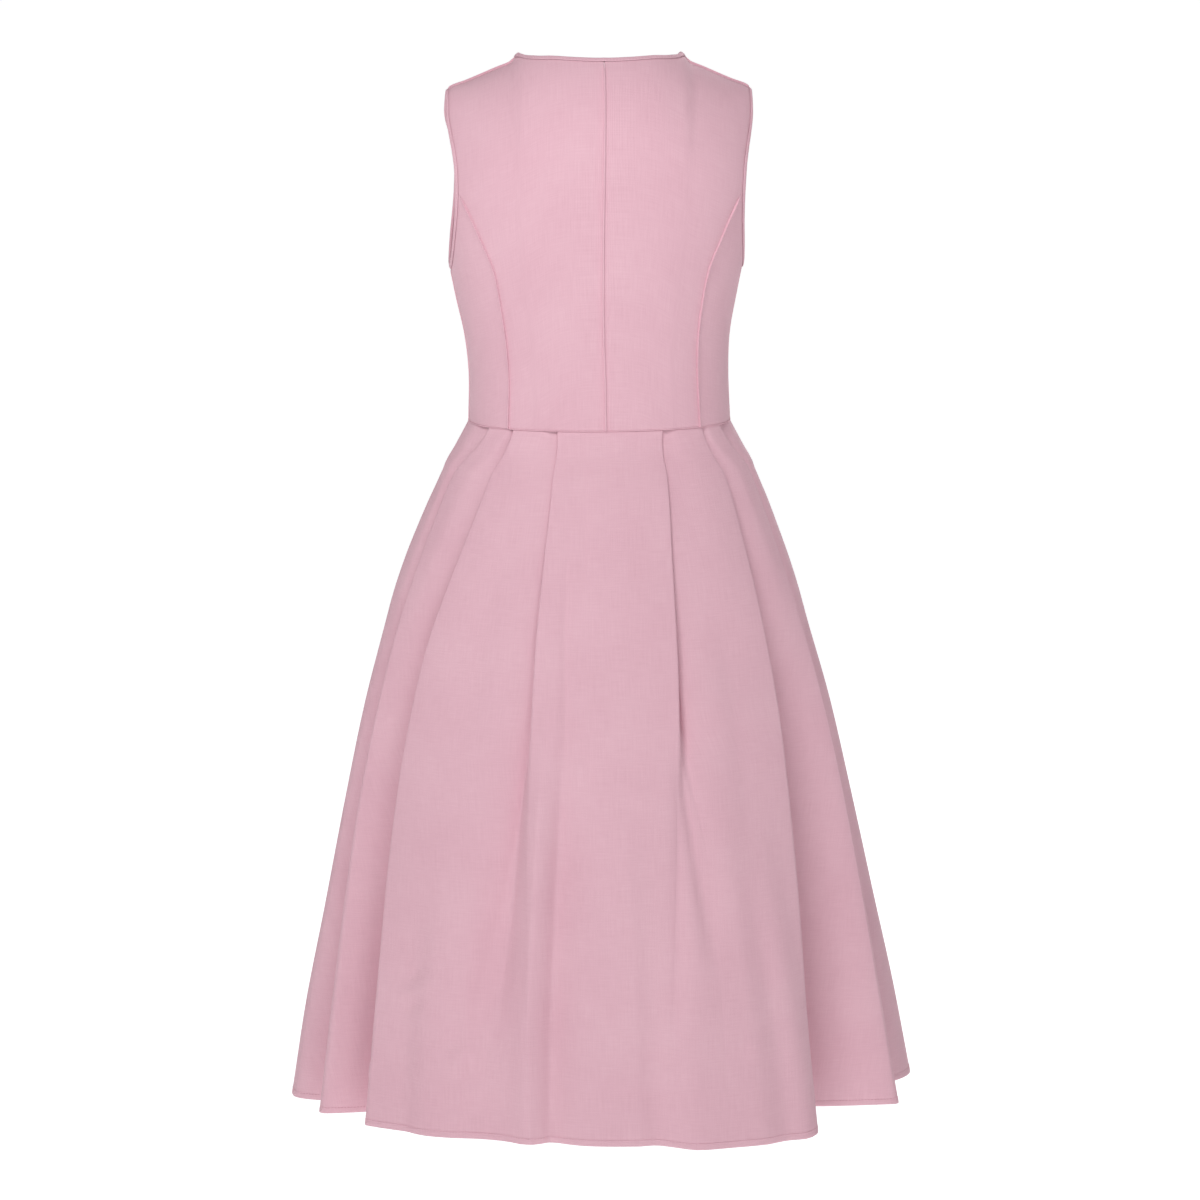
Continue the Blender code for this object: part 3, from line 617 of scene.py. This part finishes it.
def make_cloth(name, across, down, place, material, wall=WALL, ring=False):
    """Sheet with a corner for each pair of shares; place gives its point, and its thread map in
    metres."""
    sheet = bmesh.new()
    bmesh.ops.create_grid(sheet, x_segments=len(across) - 1, y_segments=len(down) - 1, size=0.5)
    threads = {}
    for corner in sheet.verts:
        column = round((corner.co.x + 0.5) * (len(across) - 1))
        row = round((corner.co.y + 0.5) * (len(down) - 1))
        corner.co, threads[corner] = place(across[column], down[row])
    weave = sheet.loops.layers.uv.new("threads")
    for face in sheet.faces:
        face.smooth = True
        for loop in face.loops:
            loop[weave].uv = threads[loop.vert]
    if ring:
        bmesh.ops.remove_doubles(sheet, verts=sheet.verts, dist=1e-6)
    for edge in sheet.edges:
        edge.smooth = not edge.is_boundary
    mesh = bpy.data.meshes.new(name)
    sheet.to_mesh(mesh)
    sheet.free()
    mesh.materials.append(material)
    piece = add_object(name, mesh)
    shell = piece.modifiers.new("cloth", "SOLIDIFY")
    shell.thickness = wall
    shell.offset = 0.0
    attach(piece, "root")
    return piece


def patch(bottom, top, left, right):
    """Place inside four edges, each a function of 0..1 that gives (angle, run)."""
    corners = bottom(0), bottom(1), top(0), top(1)

    def inside(u, v):
        low, high, near, far = bottom(u), top(u), left(v), right(v)
        return tuple(
            mix(low[k], high[k], v) + mix(near[k], far[k], u)
            - mix(mix(corners[0][k], corners[1][k], u), mix(corners[2][k], corners[3][k], u), v)
            for k in (0, 1))
    return inside


STITCH_PITCH, STITCH_LENGTH, STITCH_BREADTH = 0.0034, 0.0024, 0.00055
STITCH_HEIGHT = 0.00045
HEM_STITCH_HEIGHT = 0.0024       # a hem's stitch goes through the cloth and shows on both sides


def sew(name, path, height):
    """Row of stitches along a path of (point, direction out of the cloth)."""
    row = bmesh.new()
    travelled, following = 0.0, STITCH_PITCH / 2
    for (start, out), (end, _) in zip(path, path[1:]):
        span = (end - start).length
        while following <= travelled + span and span > 1e-9:
            middle = start.lerp(end, (following - travelled) / span)
            forward = (end - start).normalized()
            sideways = out.cross(forward).normalized()
            axes = Matrix((forward * STITCH_LENGTH / 2, sideways * STITCH_BREADTH / 2,
                           forward.cross(sideways) * height / 2))
            place = Matrix.Translation(middle) @ axes.transposed().to_4x4()
            bmesh.ops.create_icosphere(row, subdivisions=1, radius=1.0, matrix=place)
            following += STITCH_PITCH
        travelled += span
    mesh = bpy.data.meshes.new(name)
    bmesh.ops.recalc_face_normals(row, faces=row.faces)
    row.to_mesh(mesh)
    row.free()
    mesh.shade_smooth()
    mesh.materials.append(sewing_thread)
    piece = add_object(name, mesh)
    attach(piece, "root")
    return piece


# ---- bodice pieces ----
PANEL_INSET = 0.0014             # the panel runs up inside the folded binding
SEAM_ANGLE = math.degrees(SEAM_HALF / ARMHOLE_RADIUS)
MIDDLE_ANGLE = math.degrees((SEAM_HALF / BODY[0].half_width) ** (1 / ROUNDNESS))
SHOULDER_GAP = 0.0005
WAIST_EDGE = WAIST_BELOW - SEAM_HALF / 2
# Shares of a panel's height at which its centre seam and its princess seam end.
MIDDLE_SHARE = {"back": 0.60, "front": 1 / 3}
PRINCESS_SHARE = 7 / 15
# About the sizes of a panel, to turn shares of it into metres of cloth.
CENTRE_WIDTH, CENTRE_HEIGHT = 0.110, 0.350
SIDE_WIDTH, SIDE_HEIGHT = 0.065, 0.190
COLUMN_SPACING, PANEL_ROW_SPACING = 0.0034, 0.0042


def bodice_place(face, hand, angle, run, depth):
    """Point and thread map of a bodice panel's cloth, turned in by depth and creased."""
    signed = angle if hand == "left" else -angle
    across = math.radians(1) * THREAD_RADIUS
    crease = crease_height(BODICE_CREASES[face], signed, run, across, 1.0)
    point = bodice_cloth(face, hand, angle, run, crease - depth)
    return point, (signed * across, -run)


def near_binding(share, corner, length):
    """How much of a seam's turning is left where the seam runs up under the binding."""
    return ease(((corner - share) * length - TUCK) / TUCK)


def make_centre_panel(face, hand):
    """Panel from the centre seam and the neckline out to the princess seam and the armhole."""
    middle_share = MIDDLE_SHARE[face]

    def middle_and_neck(v):
        if v <= middle_share:
            waist_run = run_at(MIDDLE_ANGLE, WAIST_EDGE)
            neck_run = neckline(face, 0, PANEL_INSET)[1]
            return MIDDLE_ANGLE, mix(waist_run, neck_run, v / middle_share)
        angle, run = neckline(face, (v - middle_share) / (1 - middle_share), PANEL_INSET)
        return max(angle, MIDDLE_ANGLE), max(run, SHOULDER_GAP)

    def seam_and_armhole(v):
        if v <= PRINCESS_SHARE:
            angle, run = princess(face, v / PRINCESS_SHARE, PANEL_INSET)
            return angle - SEAM_ANGLE, run
        angle, run = armhole(face, (1 - v) / (1 - PRINCESS_SHARE), PANEL_INSET)
        return angle, max(run, SHOULDER_GAP)

    def waist(u):
        angle = mix(middle_and_neck(0)[0], seam_and_armhole(0)[0], u)
        return angle, run_at(angle, WAIST_EDGE)

    def shoulder(u):
        return mix(middle_and_neck(1)[0], seam_and_armhole(1)[0], u), SHOULDER_GAP

    within = patch(waist, shoulder, middle_and_neck, seam_and_armhole)

    def place(u, v):
        middle_edge, seam_edge = turned_in(u * CENTRE_WIDTH), turned_in((1 - u) * CENTRE_WIDTH)
        waist_edge, top_edge = turned_in(v * CENTRE_HEIGHT), turned_in((1 - v) * CENTRE_HEIGHT)
        depth = max(middle_edge * near_binding(v, middle_share, CENTRE_HEIGHT),
                    seam_edge * near_binding(v, PRINCESS_SHARE, CENTRE_HEIGHT),
                    waist_edge * WAIST_EDGE_SHARE,
                    top_edge * ease(u * TOP_CORNER) * ease((1 - u) * TOP_CORNER))
        return bodice_place(face, hand, *within(u, v), depth)

    corners = sorted({middle_share, PRINCESS_SHARE})
    piece = make_cloth(f"{face}_panel_{hand}", stations(CENTRE_WIDTH, COLUMN_SPACING),
                       stations(CENTRE_HEIGHT, PANEL_ROW_SPACING, *corners), place, dress_cotton)
    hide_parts(f"bodice_{face}_{hand}")


def make_side_panel(face, hand):
    """Panel between the princess seam and the side seam, up to the armhole."""
    side_angle = 90 - SEAM_ANGLE

    def seam(v):
        angle, run = princess(face, v, PANEL_INSET)
        return angle + SEAM_ANGLE, run

    def side(v):
        return side_angle, mix(run_at(90, WAIST_EDGE), ARMHOLE_BOTTOM_RUN + PANEL_INSET, v)

    def waist(u):
        angle = mix(princess(face, 0, PANEL_INSET)[0] + SEAM_ANGLE, side_angle, u)
        return angle, run_at(angle, WAIST_EDGE)

    def underarm(u):
        angle, run = armhole(face, 1 + u, PANEL_INSET)
        return mix(angle + SEAM_ANGLE, angle - SEAM_ANGLE, u), run

    within = patch(waist, underarm, seam, side)

    def place(u, v):
        under = PRINCESS_STEP * (1 - ease(u * SIDE_WIDTH / PRINCESS_STEP_WIDTH))
        edge = max(turned_in(u * SIDE_WIDTH) * WAIST_EDGE_SHARE + under,
                   turned_in((1 - u) * SIDE_WIDTH) * WAIST_EDGE_SHARE)
        depth = max(edge * near_binding(v, 1.0, SIDE_HEIGHT),
                    turned_in(v * SIDE_HEIGHT) * WAIST_EDGE_SHARE)
        return bodice_place(face, hand, *within(u, v), depth)

    piece = make_cloth(f"{face}_side_panel_{hand}", stations(SIDE_WIDTH, COLUMN_SPACING),
                       stations(SIDE_HEIGHT, PANEL_ROW_SPACING), place, dress_cotton)
    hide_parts(f"bodice_{face}_side_{hand}")


# A binding's fold over the edge of the cloth: how far inside the edge, and how far out of it.
FoldRow = namedtuple("FoldRow", "inset lift")
BINDING_FOLD = table(
    FoldRow, (0.0053, 0.0006), (0.0055, 0.0010), (0.0052, 0.00125), (0.0046, 0.00128),
    (0.0040, 0.00118), (0.0034, 0.00130), (0.0024, 0.00138), (0.0012, 0.00132), (0.0003, 0.0010),
    (-0.0001, 0.0), (0.0003, -0.0010), (0.0014, -0.00125), (0.0034, -0.00125), (0.0052, -0.00120),
    (0.0055, -0.0009))
BINDING_CUT = 0.0125             # width of the strip all round its fold
BIAS = math.sqrt(0.5)            # the strip is cut at 45 degrees to the threads
STITCH_INSET = 0.0040
BINDING_SEWING = (("_stitches", 0.00138), ("_inner_stitches", -0.00142))


def make_binding(name, edge_places, node, cut_length):
    """Folded strip round an edge; edge_places gives (face, hand, edge function, share) in turn."""
    def place(u, v):
        face, hand, edge, share = edge_places[round(u * (len(edge_places) - 1))]
        row = BINDING_FOLD[round(v * (len(BINDING_FOLD) - 1))]
        angle, run = edge(face, share, row.inset)
        travelled, around = u * cut_length, v * BINDING_CUT
        point = bodice_cloth(face, hand, angle, max(run, 0.0), row.lift)
        return point, ((travelled + around) * BIAS, (travelled - around) * BIAS)

    band = make_cloth(name, even_shares(len(edge_places)), even_shares(len(BINDING_FOLD)), place,
                      binding_cotton, wall=BINDING_WALL, ring=True)
    for suffix, lift in BINDING_SEWING:
        path = []
        for face, hand, edge, share in edge_places:
            spot = face, hand, *edge(face, share, STITCH_INSET)
            path.append((bodice_cloth(*spot, lift), bodice_outward(*spot)))
        sew(name + suffix, path, STITCH_HEIGHT)
    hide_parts(node)


def neck_places():
    count = 90
    outward = [n / count for n in range(count)]
    inward = [1 - share for share in outward]
    return ([("back", "left", neckline, share) for share in outward]
            + [("front", "left", neckline, share) for share in inward]
            + [("front", "right", neckline, share) for share in outward]
            + [("back", "right", neckline, share) for share in inward]
            + [("back", "right", neckline, 0.0)])


def armhole_places(hand):
    count = 120
    downward = [2 * n / count for n in range(count)]
    upward = [2 - share for share in downward]
    return ([("back", hand, armhole, share) for share in downward]
            + [("front", hand, armhole, share) for share in upward]
            + [("front", hand, armhole, 0.0)])


# ---- skirt ----
# The section is drawn on the unrolled oval: a length along it from the middle, and an offset out
# of it. The cloth runs round each fold's roll like a belt round pulleys.
Roll = namedtuple("Roll", "along offset radius")


def rolls_of_quarter(pleats, share, half_width, half_length):
    rolls = []
    for pleat in pleats:
        fall = FALLS[pleat.fall]
        path = table(PathRow, *zip(PATH_SHARES, pleat.path))
        along = half_length * math.asin(read(path, "across", share) / half_width) / (math.pi / 2)
        deepness = mix(1.0, pleat.deepness, ease(share / SETTLED_AT))
        depth = read(fall, "depth", share) * deepness
        edge_roll = read(fall, "edge_roll", share)
        valley_roll = read(fall, "valley_roll", share)
        rolls.append(Roll(along, -edge_roll, -edge_roll))
        rolls.append(Roll(along - read(fall, "overlap", share), valley_roll - depth, valley_roll))
    return rolls


def heading(first, last):
    """Direction of the straight run of cloth from one roll to the next."""
    step_along, step_out = last.along - first.along, last.offset - first.offset
    reach = math.hypot(step_along, step_out)
    return math.atan2(step_out, step_along) - math.asin((last.radius - first.radius) / reach)


def touch(roll, direction):
    """Point of a roll that cloth leaves or meets in a direction."""
    return (roll.along + math.sin(direction) * roll.radius,
            roll.offset - math.cos(direction) * roll.radius)


def pressed_rise(begin, end, under, over, share, u):
    """Rise across a panel. A pressed one lies low as far as the edge that covers it, under, and
    has come up by the place where it covers the next valley, over."""
    low = clamp((under + PRESSED_CLEAR - begin) / (end - begin), *RISE_BEGINS)
    high = clamp((over - PRESSED_CLEAR - begin) / (end - begin), *RISE_ENDS)
    return mix(ease((u - low) / (high - low)), u, ease(share / SETTLED_AT))


def rise_at(face, hand, share, rolls, number, ends, u):
    """How far the cloth after a roll has risen at u of its way between its ends."""
    if number == 0 or number % 2:
        return u
    last = number + 2 == len(rolls)
    begin, end = ends
    over = mix(rolls[number - 1].along, end, LAST_COVER) if last else rolls[number + 2].along
    rise = pressed_rise(begin, end, rolls[number - 1].along, over, share, u)
    if (face, hand) == SWING_FACE:
        if number == 4:
            rise **= mix(1.0, LOW_RISE, ease(share / LOW_FROM))
        if number == 2:
            rise **= mix(1.0, SLOT_SWELL, math.exp(-((share - SLOT_AT) / SLOT_REACH) ** 2))
    return rise + (rise * rise - rise**3) if last else rise


def quarter_section(face, hand, share):
    """Points (angle, offset) of the cloth from the middle to the side seam, and the metres of
    cloth for one degree."""
    half_width = read(SKIRT, "half_width", share)
    half_length = math.pi / 4 * (half_width + read(SKIRT, "half_depth", share))
    side_along = half_length * (90 + SIDE_SWING[face, hand] * ease(share)) / 90
    pleats = rolls_of_quarter(PLEATS[face, hand], share, half_width, half_length)
    rolls = [Roll(0.0, 0.0, 0.0), *pleats, Roll(side_along - SIDE_FLAT, 0.0, 0.0)]
    directions = [heading(a, b) for a, b in zip(rolls, rolls[1:])]
    points = [touch(rolls[0], directions[0])]
    for number, direction in enumerate(directions):
        start, end = touch(rolls[number], direction), touch(rolls[number + 1], direction)
        columns = RETURN_COLUMNS if number % 2 else PANEL_COLUMNS if number else MIDDLE_COLUMNS
        for u in even_shares(columns + 1)[1:]:
            if number == 2:
                u **= NEAR_PLEAT
            rise = rise_at(face, hand, share, rolls, number, (start[0], end[0]), u)
            points.append((mix(start[0], end[0], u), mix(start[1], end[1], rise)))
        if number + 1 == len(directions):
            break
        roll = rolls[number + 1]
        sense = math.copysign(1.0, roll.radius)
        bend = (sense * (directions[number + 1] - direction)) % (2 * math.pi)
        bend -= 2 * math.pi if bend > 1.5 * math.pi else 0.0
        for u in even_shares(FOLD_COLUMNS + 1)[1:]:
            points.append(touch(roll, direction + sense * bend * u))
    for u in SIDE_STEPS:
        away = SEAM_HALF + (1 - u) * (SIDE_FLAT - SEAM_HALF)
        points.append((side_along - away, -turned_in(away - SEAM_HALF) * WAIST_TURN_SHARE))
    return [(along / half_length * 90, offset) for along, offset in points], half_length / 90


def swing(face, hand, share, turn):
    """How much of the swing at the hem there is at a place, from 0 to 1."""
    if (face, hand) != SWING_FACE:
        return 0.0
    start, full, full_end, end = (math.radians(angle) for angle in SWING_ANGLES)
    breadth = ease((turn - start) / (full - start)) * ease((end - turn) / (end - full_end))
    return breadth * ease((share - SWING_FROM) / (1 - SWING_FROM))


def skirt_point(face, hand, share, angle, offset):
    half_width = read(SKIRT, "half_width", share)
    half_depth = read(SKIRT, "half_depth", share)
    turn = math.radians(angle)
    swung = swing(face, hand, share, turn)
    out = Vector((math.sin(turn) / half_width, math.cos(turn) / half_depth)).normalized()
    out *= offset + SWING_OUT * swung
    ridge = Vector((half_width * math.sin(turn), half_depth * math.cos(turn)))
    if share < FLUSH_UNTIL:
        waist = read(BODY, "half_width", WAIST_BELOW), read(BODY, face + "_depth", WAIST_BELOW)
        power = 2 / ROUNDNESS
        reach = sum(abs(ridge[k] / waist[k]) ** power for k in (0, 1)) ** (1 / power)
        ridge *= mix(1 / reach, 1.0, share / FLUSH_UNTIL)
    below = mix(SKIRT_TOP, HEM_BELOW, share) + SWING_DOWN * swung
    return Vector((SIDE[hand] * (ridge.x + out.x) + read(SKIRT, "sway", share),
                   TOWARD[face] * (ridge.y + out.y), -below))


def skirt_rows():
    """Shares down the skirt: close at the waist seam and the hem's sewing."""
    top = [row.away for row in TURN]
    count = round((SKIRT_LENGTH - HEM_STEPS[0] - top[-1]) / ROW_SPACING)
    middle = [mix(top[-1], SKIRT_LENGTH - HEM_STEPS[0], n / count) for n in range(1, count)]
    return [down / SKIRT_LENGTH for down in top + middle + [SKIRT_LENGTH - up for up in HEM_STEPS]]


def skirt_section(face, share):
    """Points of the cloth from the right side seam over the middle to the left side seam."""
    above_hem = (1 - share) * SKIRT_LENGTH
    groove = HEM_GROOVE * math.exp(-(((above_hem - HEM_WIDTH) / GROOVE_REACH) ** 2))
    proud = HEM_PROUD * ease((HEM_WIDTH - above_hem) / PROUD_REACH)
    sunk = turned_in(share * SKIRT_LENGTH) * WAIST_TURN_SHARE
    creases = SKIRT_CREASES[face]
    section = []
    for hand in ("right", "left"):
        points, across = quarter_section(face, hand, share)
        half = []
        for angle, offset in points:
            crease = crease_height(creases, SIDE[hand] * angle, share, across, SKIRT_LENGTH)
            calm = ease(share / CALM_UNTIL) * ease((CALM_ANGLE - angle) / CALM_REACH)
            lift = crease * calm - groove + proud - sunk
            half.append(skirt_point(face, hand, share, angle, offset + lift))
        section += half[::-1] if hand == "right" else half[1:]
    return section


def ways_out(face, hem):
    """Level direction out of the cloth at each point of the hem."""
    outs = []
    for number in range(len(hem)):
        before, after = hem[max(number - 1, 0)], hem[min(number + 1, len(hem) - 1)]
        level = Vector((after.y - before.y, before.x - after.x, 0.0)).normalized()
        outs.append(level * -TOWARD[face])
    return outs


def threads_across(section):
    """Length of cloth from the middle of a section to each of its points."""
    measured = [0.0]
    for start, end in zip(section, section[1:]):
        measured.append(measured[-1] + (end - start).length)
    return [length - measured[len(section) // 2] for length in measured]


def make_skirt(face):
    """Half of the skirt, between its side seams, with the hem turned up inside."""
    shares = skirt_rows()
    sections = [skirt_section(face, share) for share in shares]
    hem = sections[-1]
    outs = ways_out(face, hem)
    for row in HEM_TURNING:
        up = Vector((0, 0, row.up))
        sections.append([point - out * row.inside + up for point, out in zip(hem, outs)])
    lengths = [threads_across(section) for section in sections]
    downs = shares + [1 + row.up for row in HEM_TURNING]

    def place(u, v):
        row, column = round(v * (len(sections) - 1)), round(u * (len(hem) - 1))
        return sections[row][column], (lengths[row][column], -downs[row] * SKIRT_LENGTH)

    piece = make_cloth(f"skirt_{face}_cloth", even_shares(len(hem)), even_shares(len(sections)),
                       place, dress_cotton)
    sewn = next(n for n, share in enumerate(shares)
                if (1 - share) * SKIRT_LENGTH < HEM_WIDTH + 1e-4)
    stitches = sew(f"hem_stitches_{face}", list(zip(sections[sewn], outs)), HEM_STITCH_HEIGHT)
    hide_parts(f"skirt_{face}")


# ---- the dress ----
make_binding("neck_band", neck_places(), "neck_binding", 0.800)
for hand in ("left", "right"):
    make_binding(f"armhole_band_{hand}", armhole_places(hand), f"armhole_binding_{hand}", 0.500)
for face in ("back", "front"):
    for hand in ("left", "right"):
        make_centre_panel(face, hand)
        make_side_panel(face, hand)
    make_skirt(face)


# ---- studio ----
def make_floor():
    paper = bmesh.new()
    bmesh.ops.create_grid(paper, x_segments=2, y_segments=2, size=40.0)
    bmesh.ops.translate(paper, verts=paper.verts, vec=(0, 0, FLOOR))
    mesh = bpy.data.meshes.new("studio_floor")
    paper.to_mesh(mesh)
    paper.free()
    mesh.materials.append(backdrop_paper)
    add_object("studio_floor", mesh)


def add_softbox(name, place, target, size, power):
    light = bpy.data.lights.new(name, "AREA")
    light.shape = "SQUARE"
    light.size = size
    light.energy = power
    lamp = add_object(name, light)
    lamp.location = place
    lamp.rotation_euler = (Vector(target) - Vector(place)).to_track_quat("-Z", "Y").to_euler()


make_floor()
add_softbox("key", (1.15, 2.6, 2.6), (0, 0.1, -0.25), 1.4, 91)
add_softbox("fill", (-1.1, 3.2, 2.2), (0, 0.1, -0.40), 1.2, 26)
add_softbox("front_side", (-1.3, -3.6, 1.3), (0, 0, -0.35), 1.4, 66)

world = bpy.data.worlds.new("studio")
world.use_nodes = True
sky = world.node_tree.nodes["Background"]
sky.inputs["Color"].default_value = linear("#FFFFFF")
sky.inputs["Strength"].default_value = 0.12
bpy.context.scene.world = world
bpy.context.scene.view_settings.view_transform = "Standard"

lens = bpy.data.cameras.new("camera")
lens.sensor_width = SENSOR_MM
lens.lens = FOCAL_PIXELS * SENSOR_MM / FRAME_PIXELS
camera = add_object("camera", lens)
camera.location = (math.sin(CAMERA_TURN) * CAMERA_DISTANCE + CAMERA_ASIDE,
                   math.cos(CAMERA_TURN) * CAMERA_DISTANCE, CAMERA_HEIGHT)
camera.rotation_euler = (math.pi / 2 - CAMERA_PITCH, 0.0, math.pi - CAMERA_TURN)
bpy.context.scene.camera = camera
